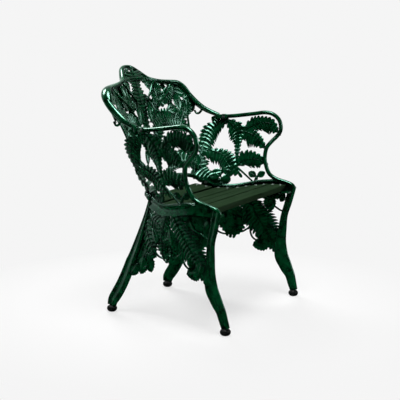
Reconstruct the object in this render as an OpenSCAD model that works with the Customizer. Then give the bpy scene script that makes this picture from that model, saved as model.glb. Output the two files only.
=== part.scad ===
// Garden armchair: two cast end frames and a cast back, all pierced with fern fronds and
// bramble leaves, and a dished seat of five timber slats. Millimetres, +Z up, front towards -Y.

/* [Seat] */
// Half width over the seat rails at the front corners
seat_half = 316; // [270:1:350]
// Depth of the front corners, measured forward of the rear feet
seat_front = 484; // [464:1:504]
// How fast the seat rails draw in towards the rear
seat_draw = 5130; // [4900:10:6500]
// Width of a slat
slat_w = 57; // [50:0.5:59]
// Gap between slats
slat_gap = 6; // [3:0.5:8]
// Thickness of a slat
slat_t = 20; // [16:0.5:24]
// Depth of the rear edge of the rear slat
slat_rear = 136; // [130:1:142]
// Gap between a slat's end and the thickest part of an end
slat_clear = 2; // [1:0.5:4]
// Width of the ledge that carries the slats
ledge_w = 36; // [30:1:44]
// Thickness of the ledge
ledge_t = 6; // [5:0.5:8]
// Distance of a bolt from the slat's end
bolt_inset = 16; // [12:0.5:20]

/* [Castings] */
// Thickness of the arm, back and seat rails
rail_t = 14; // [12:0.5:18]
// Width of the arm and back rails
rail_w = 15; // [13:0.5:18]
// Thickness of the legs
leg_t = 17; // [15:0.5:22]
// Thickness of a frond at its midrib
rib_t = 9; // [7:0.5:12]
// Pitch of the leaflets along a frond
leaflet_p = 22; // [20:1:28]
// Radius of the berries
berry_r = 7; // [5:0.5:9]

/* [Feet] */
// Diameter of a foot
foot_d = 36; // [30:1:40]
// Height of a foot
foot_h = 22; // [18:1:26]
// Diameter of the peg on a foot
peg_d = 9; // [7:0.5:11]
// Length of the peg on a foot
peg_l = 16; // [10:1:20]

/* [Fasteners] */
// Diameter of the bolts
bolt_d = 6; // [5:0.5:7]
// Diameter of the round bolt heads
head_d = 13; // [11:0.5:15]
// Height of the round bolt heads
head_h = 3.5; // [2.5:0.25:4.5]
// Width across the square nuts
nut_w = 10; // [9:0.5:12]
// Thickness of the nuts
nut_t = 5; // [4:0.5:6]
// Clearance of a bolt or a peg in its hole
hole_clear = 1.2; // [0.6:0.1:2]
// Thickness of the tongues that lap the back onto the ends
tongue_t = 7; // [5:0.5:9]

/* [Hidden] */
slat_n = 5;
$fn = 32;

// Heights at which the shape of the ends changes
knee_z = 190;
seat_z = 404;
arm_base_z = 430;
arm_z = 676;
crest_z = 790;
crest_top = 846;

// Depths of the centres of the feet, and the depth that lies in the middle of the whole chair
rear_foot = 0;
front_foot = 486;
mid_depth = (front_foot + foot_d / 2 + back_depth(0, crest_top) - 0.62 * rail_w) / 2;

// Half widths of the ends along four levels, at depth t
function seat_line(t) = seat_half - pow(seat_front - min(t, seat_front), 2.3) / seat_draw;
function seat_slope(t) = 2.3 * pow(seat_front - min(t, seat_front), 1.3) / seat_draw;
function arm_line(t) = seat_half - 37 + 0.158 * t;
function knee_line(t) = seat_half - 131 + 0.25 * t;
function foot_line(t) = seat_half - 111 + 0.1735 * t;
function clamp(u) = max(0, min(1, u));
function mix(a, b, u) = a + (b - a) * u;

// Half width of an end at depth t and height z
function end_half(t, z) =
    z > seat_z ? mix(seat_line(t), arm_line(t), sin(90 * clamp((z - arm_base_z) / (arm_z - arm_base_z))))
    : z > knee_z ? mix(seat_line(t), knee_line(t), (seat_z - z) / (seat_z - knee_z))
    : mix(knee_line(t), foot_line(t), (knee_z - z) / knee_z);

// Depth of the back at distance x from the middle and height z
function back_depth(x, z) =
    82 - 0.277 * (min(z, crest_z) - 456) - 0.83 * max(z - crest_z, 0)
    + (0.00144 - 0.0000031 * (z - 445)) * x * x;

// A drawn point, [depth, height] on the left end or [x, height] on the back, laid on its casting
END = 1;
BACK = 0;
function at(face, p) =
    face == END ? [end_half(p.x, p.y), mid_depth - p.x, p.y] : [p.x, mid_depth - back_depth(p.x, p.y), p.y];
function unit(v) = v / norm(v);

// Outward normal of the left end or of the back at a drawn point
function normal(face, p) = -unit(cross(at(face, p + [1, 0]) - at(face, p - [1, 0]),
                                       at(face, p + [0, 1]) - at(face, p - [0, 1])));

// Smooth curve through a list of points, in steps of about the given length
function curve_point(a, b, c, d, u) =
    0.5 * (2 * b + (c - a) * u + (2 * a - 5 * b + 4 * c - d) * u * u + (3 * b - a - 3 * c + d) * u * u * u);
function curve(p, step) = concat(
    [for (i = [0:len(p) - 2]) let (n = max(1, round(norm(p[i + 1] - p[i]) / step))) for (k = [0:n - 1])
        curve_point(p[max(i - 1, 0)], p[i], p[i + 1], p[min(i + 2, len(p) - 1)], k / n)],
    [p[len(p) - 1]]);

// Solid through a list of rings of equal length
module skin(rings) {
    n = len(rings[0]);
    last = len(rings) - 1;
    polyhedron(
        points = [for (r = rings) for (p = r) p],
        faces = concat(
            [[for (k = [0:n - 1]) k]],
            [[for (k = [n - 1:-1:0]) last * n + k]],
            [for (i = [0:last - 1]) for (k = [0:n - 1])
                [i * n + k, (i + 1) * n + k, (i + 1) * n + (k + 1) % n]],
            [for (i = [0:last - 1]) for (k = [0:n - 1])
                [i * n + k, (i + 1) * n + (k + 1) % n, i * n + (k + 1) % n]]));
}

// Bar with flat faces along a path of [position, outward normal, width]
module bar(path, thick, facets = 8) {
    last = len(path) - 1;
    spread = 0.5 / cos(180 / facets);
    skin([for (i = [0:last])
        let (d = unit(path[min(i + 1, last)][0] - path[max(i - 1, 0)][0]),
             s = unit(cross(path[i][1], d)),
             up = cross(d, s))
        [for (k = [0:facets - 1])
            let (q = 360 * (k + 0.5) / facets)
            path[i][0] + spread * (s * path[i][2] * cos(q) + up * thick * sin(q))]]);
}

// Drawn points [u, v, width] as a path for bar
function placed(face, p, step = 26) =
    [for (c = curve(p, step)) [at(face, [c.x, c.y]), normal(face, [c.x, c.y]), c.z]];
function wide(p, w) = [for (q = p) [q.x, q.y, w]];

// Thin stem of one width
module stem(face, p, w) {
    bar(placed(face, wide(p, w), 30), w, 6);
}

// Blade ridged on both faces, between stations of [left point, middle, right point] in the drawing
module blade(face, stations) {
    skin([for (q = stations)
        let (ridge = normal(face, q[1]) * rib_t / 2)
        [at(face, q[0]), at(face, q[1]) - ridge, at(face, q[2]), at(face, q[1]) + ridge]]);
}

// Fern frond along a midrib of [u, v, reach on its left, reach on its right]
module frond(face, p) {
    path = curve(p, leaflet_p / 2);
    last = len(path) - 1;
    blade(face, [for (i = [0:last])
        let (a = path[max(i - 1, 0)],
             b = path[min(i + 1, last)],
             d = unit([b.x - a.x, b.y - a.y]),
             s = [-d.y, d.x],
             c = [path[i].x, path[i].y],
             tip = i % 2 == 1,
             k = tip ? 1.05 : 0.65,
             lean = d * (tip ? 0.3 : 0))
        [c + path[i][2] * (k * s + lean), c, c + path[i][3] * (lean - k * s)]]);
}

// Leaf with its middle at c, its length and the direction of its point in degrees
module leaf(face, c, size, dir) {
    d = [cos(dir), sin(dir)];
    s = [-d.y, d.x];
    blade(face, [for (q = [[-0.5, 0.15], [-0.2, 0.42], [0.2, 0.34], [0.5, 0.05]])
        [c + size * (q.x * d + q.y * s), c + size * q.x * d, c + size * (q.x * d - q.y * s)]]);
}

// Blackberry: a short drum with rounded ends
module berry(face, c) {
    translate(at(face, c)) hull() {
        cylinder(r = berry_r, h = berry_r, center = true, $fn = 5);
        cylinder(r = 0.6 * berry_r, h = 2 * berry_r, center = true, $fn = 5);
    }
}

// Height of the seat's upper side and of the seat rail's upper edge along the depth
seat_profile = [[120, 424], [165, 406], [228, 394], [290, 400], [353, 413], [416, 416], [476, 411]];
rim_profile = [[150, 427], [180, 410], [200, 402], [228, 399], [256, 399], [290, 406], [353, 418],
               [416, 421], [460, 418]];
function seat_top(t) = lookup(t, seat_profile);

// Slats: depth of the rear edge, tilt, and depth and height of a point on the upper side
function slat_t0(i) = slat_rear + i * (slat_w + slat_gap);
function slat_tilt(i) = atan2(seat_top(slat_t0(i)) - seat_top(slat_t0(i) + slat_w), slat_w);
function slat_depth(i, a) = slat_t0(i) + a * cos(slat_tilt(i));
function slat_top(i, a) = seat_top(slat_t0(i)) - a * sin(slat_tilt(i));
function slat_end(t) = seat_line(t) - max(rail_t, leg_t) / 2 * norm([1, seat_slope(t)]) - slat_clear;
bolt_rows = [0.25 * slat_w, 0.75 * slat_w];

// Places children on the upper side of slat i, with -Y forward and +Z away from the slat
module on_slat(i, a = 0, x = 0) {
    translate([x, mid_depth - slat_depth(i, a), slat_top(i, a)]) rotate([slat_tilt(i), 0, 0]) children();
}

// Places children at each bolt of the left ends of the slats
module at_slat_bolts() {
    for (i = [0:slat_n - 1]) for (a = bolt_rows)
        on_slat(i, a, slat_end(slat_depth(i, a)) - bolt_inset) children();
}

// Joints of the back with an end: drawn point, direction along the rail, side of the tongue
arm_joint = [[191, 656], [1, 0.02], -1];
seat_joint = [[163, 419], [1, -0.55], 1];
boss_l = 30;
boss_w = 20;
boss_t = rail_t + 1;

// Places children at a joint, with +X along the rail and +Z outwards
module at_joint(j) {
    p = at(END, j[0]);
    d = unit(at(END, j[0] + j[1]) - at(END, j[0] - j[1]));
    n = normal(END, j[0]);
    s = cross(n, d);
    multmatrix([[d.x, s.x, n.x, p.x], [d.y, s.y, n.y, p.y], [d.z, s.z, n.z, p.z]]) children();
}
function boss_low(j) = j[2] > 0 ? -rail_t / 2 : -rail_t / 2 - 1;
function boss_high(j) = boss_low(j) + boss_t;
function tongue_low(j) = j[2] > 0 ? boss_high(j) : boss_low(j) - tongue_t;
module boss(j) {
    at_joint(j) hull() for (side = [-1, 1])
        translate([side * (boss_l - boss_w) / 2, 0, boss_low(j)]) cylinder(d = boss_w, h = boss_t, $fn = 8);
}
module tongue(j) {
    reach = boss_l / 2 + 18;
    at_joint(j) {
        translate([-reach, -boss_w / 2 + 1, tongue_low(j)])
            cube([reach + boss_l / 2 - 2, boss_w - 2, tongue_t]);
        translate([-reach, -boss_w / 2 + 1, min(boss_low(j), tongue_low(j))])
            cube([15, boss_w - 2, boss_t + tongue_t]);
    }
}
module joint_holes() {
    for (j = [arm_joint, seat_joint])
        at_joint(j) cylinder(d = bolt_d + hole_clear, h = 80, center = true, $fn = 8);
}

// Arm rail of the left end from the joint with the back round to the seat's front corner
arm_rail = [[178, 656], [230, 660], [300, 669], [346, 675], [377, 669], [399, 650], [407, 625], [405, 604],
            [393, 587], [375, 568], [359, 547], [354, 522], [355, 498], [362, 476], [371, 456], [384, 442],
            [408, 430], [442, 421], [466, 412], [475, 398]];
front_leg = [[468, 408, 28], [462, 382, 28], [453, 345, 27], [441, 300, 26], [436, 250, 32], [432, 200, 41],
             [436, 150, 52], [450, 118, 49], [460, 98, 44], [471, 78, 37], [480, 48, 33], [488, 14, 26]];
rear_leg = [[160, 402, 22], [142, 355, 27], [120, 300, 33], [103, 250, 39], [87, 200, 43], [66, 150, 45],
            [44, 105, 46], [22, 68, 46], [5, 42, 42], [0, 14, 32]];
arm_fronds = [
    [[206, 650, 12, 8], [172, 633, 35, 12], [145, 608, 43, 33], [129, 575, 42, 24], [123, 545, 39, 12],
     [125, 518, 22, 6]],
    [[204, 644, 8, 12], [226, 622, 32, 31], [242, 598, 32, 34], [251, 565, 12, 18], [252, 536, 8, 12],
     [252, 502, 6, 6]],
    [[242, 596, 10, 20], [270, 602, 22, 53], [302, 592, 20, 44], [330, 570, 14, 26], [350, 546, 6, 8]],
    [[276, 612, 18, 12], [300, 626, 29, 28], [332, 638, 23, 43], [366, 635, 20, 38], [388, 615, 10, 18],
     [396, 605, 4, 6]],
    [[118, 528, 4, 14], [158, 530, 8, 42], [197, 517, 23, 36], [224, 497, 25, 42], [254, 466, 8, 30],
     [268, 448, 5, 6]],
    [[256, 476, 8, 8], [274, 494, 34, 33], [306, 502, 27, 34], [336, 498, 16, 26], [352, 490, 6, 8]],
    [[122, 514, 14, 6], [129, 490, 30, 9], [146, 464, 9, 11], [182, 434, 8, 9], [218, 401, 6, 7]]];
arm_stems = [
    [[252, 520], [254, 492], [257, 466]],
    [[256, 472], [285, 448], [312, 424], [324, 412]],
    [[205, 647], [192, 655]],
    [[217, 396], [220, 420], [206, 440]],
    [[322, 414], [330, 436], [346, 452]],
    [[352, 420], [384, 427], [412, 430]]];
leg_fronds = [
    [[285, 384, 20, 22], [310, 338, 44, 42], [342, 288, 58, 52], [378, 235, 49, 36], [408, 190, 30, 24],
     [430, 156, 8, 8]],
    [[262, 384, 14, 14], [240, 336, 42, 34], [228, 290, 48, 36], [228, 256, 30, 22], [232, 230, 10, 8]],
    [[150, 384, 10, 10], [182, 350, 30, 32], [228, 326, 26, 34], [268, 302, 10, 10]],
    [[132, 346, 12, 12], [148, 306, 32, 28], [168, 266, 34, 32], [188, 234, 14, 14]],
    [[258, 290, 10, 8], [270, 262, 26, 18], [272, 242, 20, 14], [264, 222, 8, 6]]];
leg_stems = [
    [[350, 398], [374, 342], [402, 330], [426, 316], [446, 312]],
    [[440, 330], [432, 290], [430, 262], [440, 236]],
    [[180, 262], [198, 232], [224, 221], [256, 224]],
    [[262, 232], [290, 232], [318, 252]],
    [[322, 262], [318, 236], [328, 211], [352, 196]]];
leaves = [
    [[188, 438], 32, 170], [[226, 426], 44, 80], [[314, 446], 34, 150], [[346, 446], 34, 30],
    [[366, 190], 74, 194], [[394, 206], 58, 250],
    [[160, 194], 68, 290], [[134, 182], 66, 255], [[102, 163], 52, 235], [[148, 230], 60, 60],
    [[406, 382], 72, 350], [[430, 362], 34, 240], [[358, 376], 46, 300], [[180, 226], 40, 20]];
berries = [[206, 426], [212, 414], [330, 432], [334, 420], [246, 212], [150, 176]];

module end_casting() {
    difference() {
        union() {
            bar(placed(END, wide(arm_rail, rail_w)), rail_t);
            bar(placed(END, front_leg, 60), leg_t);
            bar(placed(END, rear_leg, 60), leg_t);
            seat_rail();
            ledge();
            boss(arm_joint);
            boss(seat_joint);
            for (f = concat(arm_fronds, leg_fronds)) frond(END, f);
            for (s = concat(arm_stems, leg_stems)) stem(END, s, 8);
            for (l = leaves) leaf(END, l[0], l[1], l[2]);
            for (b = berries) berry(END, b);
        }
        joint_holes();
        at_slat_bolts() translate([0, 0, -2 * slat_t])
            cylinder(d = bolt_d + hole_clear, h = 2 * slat_t, $fn = 8);
        for (t = [rear_foot, front_foot]) at_foot(t) {
            translate([0, 0, -foot_h]) cube(4 * foot_h, center = true);
            translate([0, 0, foot_h]) cylinder(d = peg_d + hole_clear, h = peg_l + 1, $fn = 10);
        }
    }
}

// Upright seat rail from the joint with the back to the front leg
module seat_rail() {
    low = slat_t + ledge_t + 1;
    bar([for (q = rim_profile)
        let (base = seat_top(q.x) - low, p = [q.x, (q.y + base) / 2])
        [at(END, p), normal(END, p), q.y - base]], rail_t);
}

// Ledge under the slats, flat below each of them
module ledge() {
    function drop(i) = slat_t / cos(slat_tilt(i));
    edges = [for (i = [0:slat_n - 1]) for (a = [i == 0 ? 12 : 0, slat_w])
        [slat_depth(i, a), slat_top(i, a) - drop(i)]];
    front = [seat_front - 14, edges[len(edges) - 1].y - 1];
    skin([for (q = concat(edges, [front]))
        let (out = seat_line(q.x), inner = slat_end(q.x) - ledge_w, y = mid_depth - q.x)
        [[out, y, q.y], [inner, y, q.y], [inner, y, q.y - ledge_t], [out, y, q.y - ledge_t]]]);
}

// Places children on the floor under a foot of the left end
module at_foot(t) {
    translate([end_half(t, foot_h), mid_depth - t, 0]) children();
}

module left_end() {
    color([0.02, 0.16, 0.09]) end_casting();
}
module right_end() {
    color([0.02, 0.16, 0.09]) mirror([1, 0, 0]) end_casting();
}

// Half of the back's drawing; the other half mirrors it
top_rail = [[0, crest_top], [30, 842], [56, 824], [84, 803], [116, 794], [160, 789], [210, 783], [248, 774],
            [270, 760]];
sweep_rail = [[42, 740], [60, 720], [84, 698], [112, 681], [142, 670], [168, 662]];
base_rail = [[0, 456], [70, 455], [130, 451], [172, 443]];
base_end = [[144, 431]];
shoulder_bud = [[102, 682], [92, 668], [80, 666], [72, 678]];
side_stem = [[172, 444], [196, 500], [212, 560], [226, 620], [246, 680], [276, 744]];
crest_frond = [[0, 560, 6, 6], [0, 620, 20, 20], [0, 690, 36, 36], [0, 740, 50, 50], [0, 780, 46, 46],
               [0, 812, 38, 38], [0, 840, 16, 16]];
back_fronds = [
    [[2, 500, 6, 6], [44, 586, 26, 24], [78, 640, 34, 28], [122, 658, 35, 34], [176, 646, 42, 30],
     [218, 606, 8, 8]],
    [[8, 466, 6, 6], [58, 528, 26, 26], [112, 556, 34, 28], [168, 550, 30, 26], [210, 520, 8, 8]],
    [[24, 462, 6, 6], [70, 482, 18, 18], [126, 498, 20, 20], [184, 482, 8, 8]],
    [[96, 706, 10, 10], [136, 728, 20, 24], [180, 744, 24, 28], [222, 762, 10, 14]],
    [[196, 642, 10, 12], [222, 672, 20, 24], [252, 698, 20, 28], [278, 730, 8, 10]]];
back_stems = [
    [[116, 792], [84, 764], [46, 730], [0, 700]],
    [[206, 782], [170, 742], [124, 714], [84, 690], [30, 650]]];
back_leaves = [
    [[118, 764], 54, 60], [[92, 728], 44, 200], [[170, 718], 48, 330],
    [[214, 718], 48, 70], [[74, 784], 54, 330], [[62, 716], 52, 110], [[46, 682], 46, 60],
    [[86, 752], 44, 250], [[210, 748], 50, 30], [[262, 742], 44, 60]];
back_berries = [[84, 712], [128, 704], [146, 738], [170, 700]];

// Path followed from one side of the back to the other
function across(path) = concat(
    [for (i = [len(path) - 1:-1:1]) [mirror_x(path[i][0]), mirror_x(path[i][1]), path[i][2]]], path);
function mirror_x(v) = [-v.x, v.y, v.z];
module rails() {
    edge = [[at(BACK, [284, 738]), normal(BACK, [284, 738]), rail_w]];
    upper = concat(placed(BACK, wide(top_rail, rail_w)), edge, placed(END, wide(sweep_rail, rail_w)));
    bar(across(upper), rail_t);
    bar(across(concat(placed(BACK, wide(base_rail, rail_w)), placed(END, wide(base_end, rail_w)))), rail_t);
}
module half_back() {
    stem(BACK, side_stem, 9);
    stem(END, shoulder_bud, 9);
    tongue(arm_joint);
    tongue(seat_joint);
    for (f = back_fronds) frond(BACK, f);
    for (s = back_stems) stem(BACK, s, 8);
    for (l = back_leaves) leaf(BACK, l[0], l[1], l[2]);
    for (b = back_berries) berry(BACK, b);
}
module back_panel() {
    color([0.02, 0.16, 0.09]) difference() {
        union() {
            rails();
            half_back();
            mirror([1, 0, 0]) half_back();
            frond(BACK, crest_frond);
        }
        joint_holes();
        mirror([1, 0, 0]) joint_holes();
    }
}

// Rounded cross-section of a slat, with its upper rear corner at the origin
module slat_profile() {
    corners = [[-slat_w, -slat_t, 2, 180], [0, -slat_t, 2, 270], [0, 0, 4, 0], [-slat_w, 0, 4, 90]];
    polygon([for (c = corners) for (a = [0:22.5:90])
        [c.x + (c.x < 0 ? c[2] : -c[2]) + c[2] * cos(c[3] + a),
         c.y + (c.y < 0 ? c[2] : -c[2]) + c[2] * sin(c[3] + a)]]);
}
module slat(i) {
    rear = slat_end(slat_depth(i, 0));
    front = slat_end(slat_depth(i, slat_w));
    grow = (front - rear) / slat_w;
    color([0.17, 0.23, 0.18]) difference() {
        intersection() {
            on_slat(i) translate([-seat_half, 0, 0]) rotate([90, 0, 90])
                linear_extrude(2 * seat_half) slat_profile();
            on_slat(i) translate([0, 0, -slat_t - 1]) linear_extrude(slat_t + 2)
                polygon([[rear - grow, 1], [front + grow, -slat_w - 1],
                         [-front - grow, -slat_w - 1], [grow - rear, 1]]);
        }
        for (side = [0, 1]) mirror([side, 0, 0]) for (a = bolt_rows)
            on_slat(i, a, slat_end(slat_depth(i, a)) - bolt_inset)
                translate([0, 0, -slat_t - 1]) cylinder(d = bolt_d + hole_clear, h = slat_t + 2);
    }
}

// Round-headed bolt, its head resting on z = 0, with a shank of a given length
module bolt(shank) {
    ball = (head_d * head_d / 4 + head_h * head_h) / (2 * head_h);
    translate([0, 0, -shank]) cylinder(d = bolt_d, h = shank);
    intersection() {
        cylinder(d = head_d, h = head_h);
        translate([0, 0, head_h - ball]) sphere(r = ball, $fn = 64);
    }
}

// Square nut with its upper face on z = 0
module nut() {
    difference() {
        translate([-nut_w / 2, -nut_w / 2, -nut_t]) cube([nut_w, nut_w, nut_t]);
        translate([0, 0, -nut_t - 1]) cylinder(d = bolt_d + 0.2, h = nut_t + 2);
    }
}
function grip(i) = slat_t + ledge_t * cos(slat_tilt(i));
module slat_bolts() {
    color([0.6, 0.62, 0.6]) at_slat_bolts() bolt(slat_t + ledge_t + nut_t + 2);
}
module slat_nuts() {
    color([0.5, 0.52, 0.5]) for (i = [0:slat_n - 1]) for (a = bolt_rows)
        on_slat(i, a, slat_end(slat_depth(i, a)) - bolt_inset) translate([0, 0, -grip(i)]) nut();
}
module slat_bolts_left() { slat_bolts(); }
module slat_bolts_right() { mirror([1, 0, 0]) slat_bolts(); }
module slat_nuts_left() { slat_nuts(); }
module slat_nuts_right() { mirror([1, 0, 0]) slat_nuts(); }

// Bolts that hold the back, with the head on the outer side
module joint_stack(j) {
    top = max(boss_high(j), tongue_low(j) + tongue_t);
    at_joint(j) translate([0, 0, top]) children();
}
module back_bolts() {
    color([0.6, 0.62, 0.6]) for (side = [0, 1]) mirror([side, 0, 0])
        for (j = [arm_joint, seat_joint]) joint_stack(j) bolt(boss_t + tongue_t + nut_t + 2);
}
module back_nuts() {
    color([0.5, 0.52, 0.5]) for (side = [0, 1]) mirror([side, 0, 0])
        for (j = [arm_joint, seat_joint]) joint_stack(j) translate([0, 0, -boss_t - tongue_t]) nut();
}

// Flattened ball foot with a peg that goes up into the leg
module foot(t) {
    rise = 55;
    color([0.03, 0.03, 0.03]) at_foot(t) {
        rotate_extrude($fn = 64) polygon(concat([[0, 0]],
            [for (a = [-rise:10:rise]) [foot_d / 2 * cos(a), foot_h / 2 * (1 + sin(a) / sin(rise))]],
            [[0, foot_h]]));
        cylinder(d = peg_d, h = foot_h + peg_l);
    }
}
module foot_front_left() { foot(front_foot); }
module foot_front_right() { mirror([1, 0, 0]) foot(front_foot); }
module foot_rear_left() { foot(rear_foot); }
module foot_rear_right() { mirror([1, 0, 0]) foot(rear_foot); }

back_panel();
left_end();
right_end();
for (i = [0:slat_n - 1]) slat(i);
slat_bolts_left();
slat_bolts_right();
slat_nuts_left();
slat_nuts_right();
back_bolts();
back_nuts();
foot_front_left();
foot_front_right();
foot_rear_left();
foot_rear_right();
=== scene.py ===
"""Looks of the garden armchair: detailed castings, paint, floor, light and camera.

The three castings are drawn as the part's source draws them: points in the plane of an end
[depth, height] or of the back [x, height], laid on its curved surface. Drawing sizes are in
millimetres and the scene is in metres. The left half is drawn, and the right half mirrors it.
"""
import math
from collections import namedtuple

import bpy
import numpy as np
from mathutils import Matrix, Vector

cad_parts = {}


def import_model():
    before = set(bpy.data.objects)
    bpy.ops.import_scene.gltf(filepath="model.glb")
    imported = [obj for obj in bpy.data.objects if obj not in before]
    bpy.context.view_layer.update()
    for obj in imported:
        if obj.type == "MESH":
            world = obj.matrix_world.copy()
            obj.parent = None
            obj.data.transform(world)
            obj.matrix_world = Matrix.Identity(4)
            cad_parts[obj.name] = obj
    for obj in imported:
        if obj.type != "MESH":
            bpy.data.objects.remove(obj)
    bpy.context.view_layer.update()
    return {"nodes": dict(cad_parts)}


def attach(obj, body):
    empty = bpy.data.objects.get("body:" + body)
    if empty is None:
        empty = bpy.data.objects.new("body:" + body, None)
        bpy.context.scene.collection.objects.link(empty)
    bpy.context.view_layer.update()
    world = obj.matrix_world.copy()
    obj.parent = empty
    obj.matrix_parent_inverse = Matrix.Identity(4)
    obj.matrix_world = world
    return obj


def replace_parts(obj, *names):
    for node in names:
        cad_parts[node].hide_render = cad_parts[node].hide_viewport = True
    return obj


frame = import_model()
MM = 0.001

# Sizes of the solids

# Seat rails: half width over the front corners and depth of these, and divisor and power of the curve
# by which the rails draw in towards the rear
SEAT_HALF, SEAT_FRONT, SEAT_DRAW, SEAT_POWER = 316, 484, 5130, 2.3
# Heights at which the shape of the ends changes, and of the crest's lower edge and top
KNEE_Z, SEAT_Z, ARM_BASE_Z, ARM_Z, CREST_Z, CREST_TOP = 190, 404, 430, 676, 790, 846
# Feet: depth of the front ones, diameter, height
FRONT_FOOT, FOOT_D, FOOT_H = 486, 36, 22
# Thickness and width of the rails, thickness of the legs, and of a frond at its midrib
RAIL_T, RAIL_W, LEG_T, RIB_T = 14, 15, 17, 9
# Slats: width, gap, thickness, depth of the rearmost edge, gap at their ends, count
SLAT_W, SLAT_GAP, SLAT_T, SLAT_REAR, SLAT_CLEAR, SLAT_COUNT = 57, 6, 20, 136, 2, 5
LEDGE_W, LEDGE_T = 36, 6
# Bosses of the joints, proud of the rail on the side of the tongue, and the tongues on them
BOSS_L, BOSS_W, BOSS_PROUD, TONGUE_T = 30, 20, 1, 7
BOSS_T = RAIL_T + BOSS_PROUD

# Surfaces of the castings

# An end at its arm, knee and foot: how far it stands inside the seat's half width, and its flare
ARM_LINE, KNEE_LINE, FOOT_LINE = (37, 0.158), (131, 0.25), (111, 0.1735)
# The back: depth and height of the middle of its base, and its lean below and above the crest's edge
BACK_DEPTH, BACK_BASE_Z, BACK_LEAN, CREST_LEAN = 82, 456, 0.277, 0.83
# Its curve towards the arms, the loss of curve with height, and the height without loss
BACK_CURVE, CURVE_LOSS, CURVE_Z = 0.00144, 0.0000031, 445
# The middle frond: its lean below and above the crest's edge, and its flatter curve
FROND_LEAN, FROND_TOP_LEAN, FROND_CURVE = 0.294, 0.3, 0.0004
# Share of the top rail's width that stands behind the back's surface at the top of the crest
CREST_REACH = 0.62
END, BACK, CREST = "end", "back", "crest"


def seat_line(t):
    """Half width of an end along the seat rail, at depth t."""
    return SEAT_HALF - (SEAT_FRONT - np.minimum(t, SEAT_FRONT)) ** SEAT_POWER / SEAT_DRAW


def level_line(line, t):
    """Half width of an end along its arm, knee or foot, at depth t."""
    inset, flare = line
    return SEAT_HALF - inset + flare * t


def end_half(t, z):
    """Half width of an end at depth t and height z."""
    seat = seat_line(t)
    arm, knee, foot = (level_line(line, t) for line in (ARM_LINE, KNEE_LINE, FOOT_LINE))
    rise = np.sin(np.radians(90 * np.clip((z - ARM_BASE_Z) / (ARM_Z - ARM_BASE_Z), 0, 1)))
    upper = seat + (arm - seat) * rise
    middle = seat + (knee - seat) * (SEAT_Z - z) / (SEAT_Z - KNEE_Z)
    lower = knee + (foot - knee) * (KNEE_Z - z) / KNEE_Z
    return np.where(z > SEAT_Z, upper, np.where(z > KNEE_Z, middle, lower))


def back_depth(x, z):
    """Depth of the back at distance x from the middle and height z."""
    below, above = np.minimum(z, CREST_Z) - BACK_BASE_Z, np.maximum(z - CREST_Z, 0)
    curved = (BACK_CURVE - CURVE_LOSS * (z - CURVE_Z)) * x * x
    return BACK_DEPTH - BACK_LEAN * below - CREST_LEAN * above + curved


def crest_depth(x, z):
    """Depth of the middle frond, whose top curls forward out of the crest."""
    below, above = np.minimum(z, CREST_Z) - BACK_BASE_Z, np.maximum(z - CREST_Z, 0)
    return BACK_DEPTH - FROND_LEAN * below - FROND_TOP_LEAN * above + FROND_CURVE * x * x


# Depth that lies in the middle of the whole chair
MID_DEPTH = (FRONT_FOOT + FOOT_D / 2 + back_depth(0, CREST_TOP) - CREST_REACH * RAIL_W) / 2


def at(face, p):
    """Drawn points, (n, 2), laid on their casting, (n, 3)."""
    u, v = p[:, 0], p[:, 1]
    if face == END:
        return np.stack([end_half(u, v), MID_DEPTH - u, v], 1)
    depth = crest_depth(u, v) if face == CREST else back_depth(u, v)
    return np.stack([u, MID_DEPTH - depth, v], 1)


def unit(v):
    return v / np.linalg.norm(v, axis=-1, keepdims=True)


def normal(face, p):
    """Outward normals at drawn points."""
    across = at(face, p + [1, 0]) - at(face, p - [1, 0])
    up = at(face, p + [0, 1]) - at(face, p - [0, 1])
    return -unit(np.cross(across, up))


def raised(face, p, lift):
    """Drawn points laid on their casting and raised outwards, each by its lift."""
    return at(face, p) + normal(face, p) * np.reshape(lift, (-1, 1))


def curve(points, step, size=2):
    """Smooth curve through rows, the first size numbers of which are a point, in steps near step."""
    rows = np.array(points, float)
    last = len(rows) - 1
    out = []
    for i in range(last):
        a, b, c, d = rows[max(i - 1, 0)], rows[i], rows[i + 1], rows[min(i + 2, last)]
        count = max(1, round(np.linalg.norm((c - b)[:size]) / step))
        for u in np.arange(count) / count:
            out.append(0.5 * (2 * b + (c - a) * u + (2 * a - 5 * b + 4 * c - d) * u ** 2
                              + (3 * b - a - 3 * c + d) * u ** 3))
    out.append(rows[-1])
    return np.array(out)


def tangents(p):
    return unit(np.concatenate([p[1:2] - p[:1], p[2:] - p[:-2], p[-1:] - p[-2:-1]]))


def left_of(directions):
    """Directions in the drawing, turned a quarter to the left."""
    return np.stack([-directions[:, 1], directions[:, 0]], 1)


# Meshes

# Degrees between two faces from which their edge is sharp
SHARP_ANGLE = 55


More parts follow.
